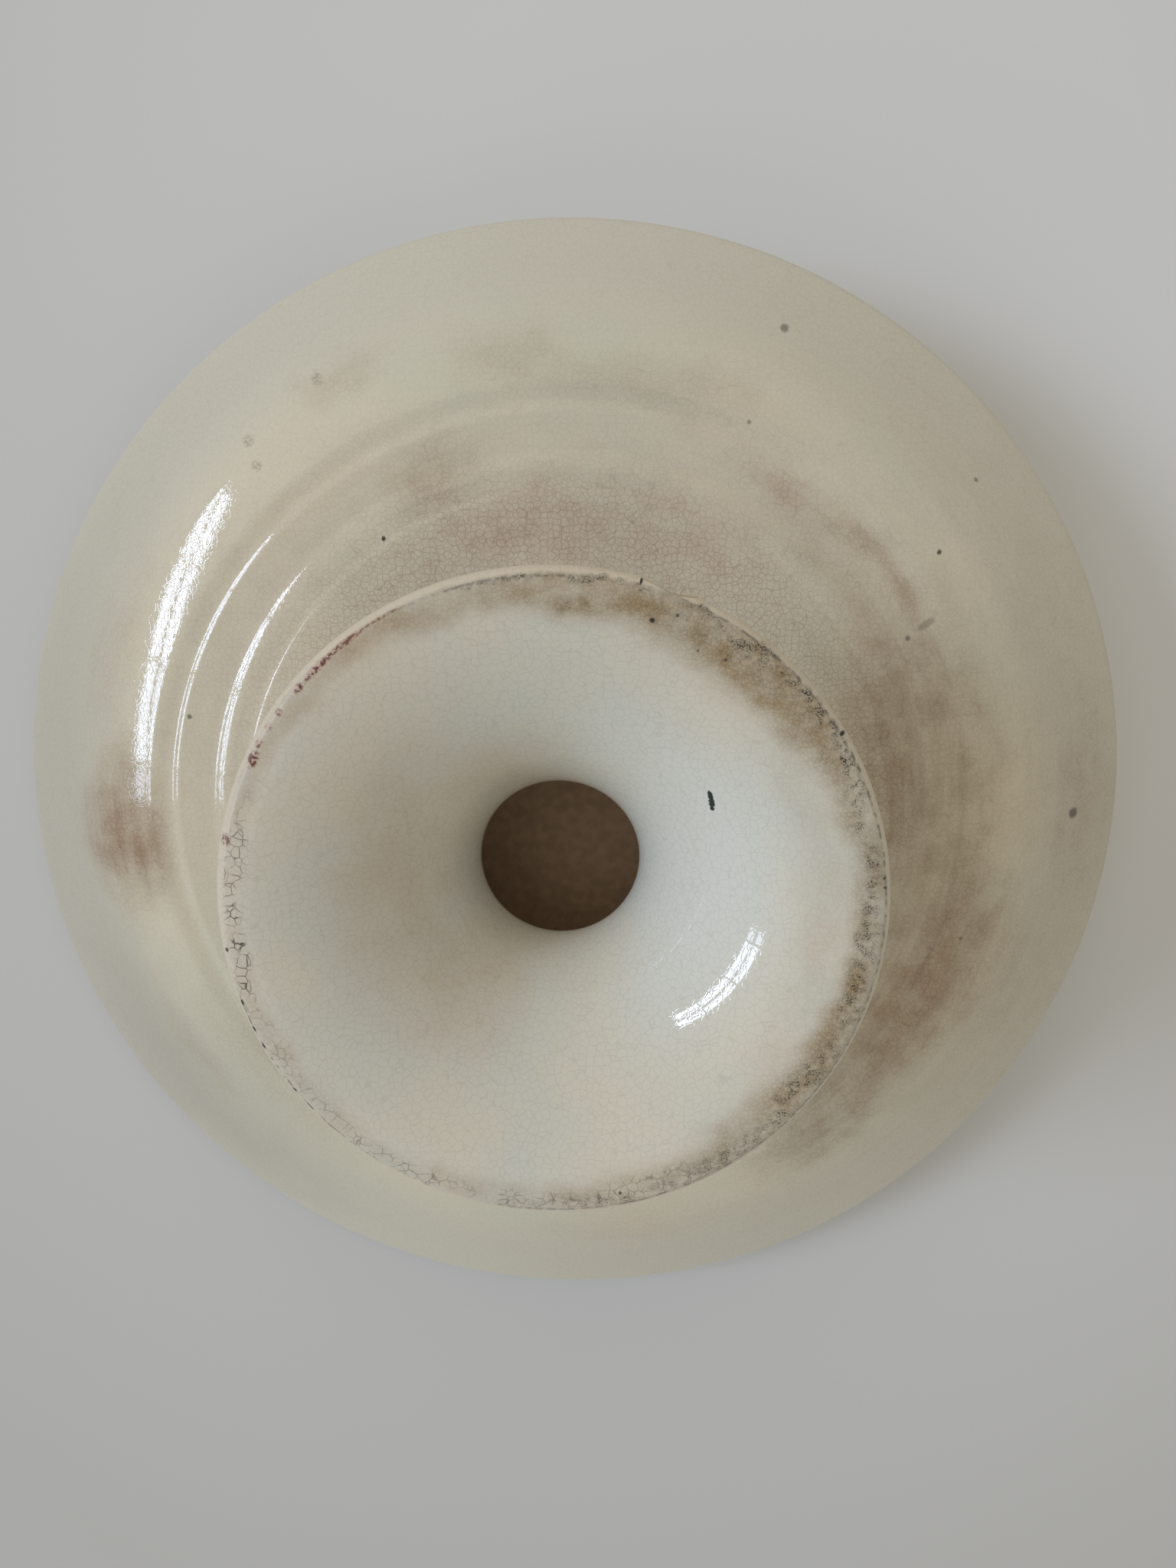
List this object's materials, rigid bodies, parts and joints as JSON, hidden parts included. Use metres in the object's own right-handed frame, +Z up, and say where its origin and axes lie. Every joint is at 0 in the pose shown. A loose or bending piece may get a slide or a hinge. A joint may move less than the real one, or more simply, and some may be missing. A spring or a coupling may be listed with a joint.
{
  "type": "pedestal plate",
  "caption": "Round glazed earthenware plate with a sloping rim and three turned steps underneath, luted onto a hollow, waisted pedestal with a flared foot.",
  "frame": {"origin": "centre of the ring that the foot stands on, in the resting plane", "axes": "+Z up along the turning axis, from the foot to the plate; X and Y lie in the resting plane"},
  "size_m": [0.23, 0.23, 0.0764],
  "materials": {
    "plate_glaze": "glossy cream glaze over pale earthenware, finely crazed, with brown stains under the glaze",
    "pedestal_glaze": "glossy off-white glaze over pale earthenware, finely crazed, with a stained and worn standing ring",
    "joint_slip": "sponged clay slip under thin glaze"
  },
  "bodies": {
    "root": {"plate": "plate_glaze", "pedestal": "pedestal_glaze", "luting_slip": "joint_slip"}
  },
  "joints": []
}
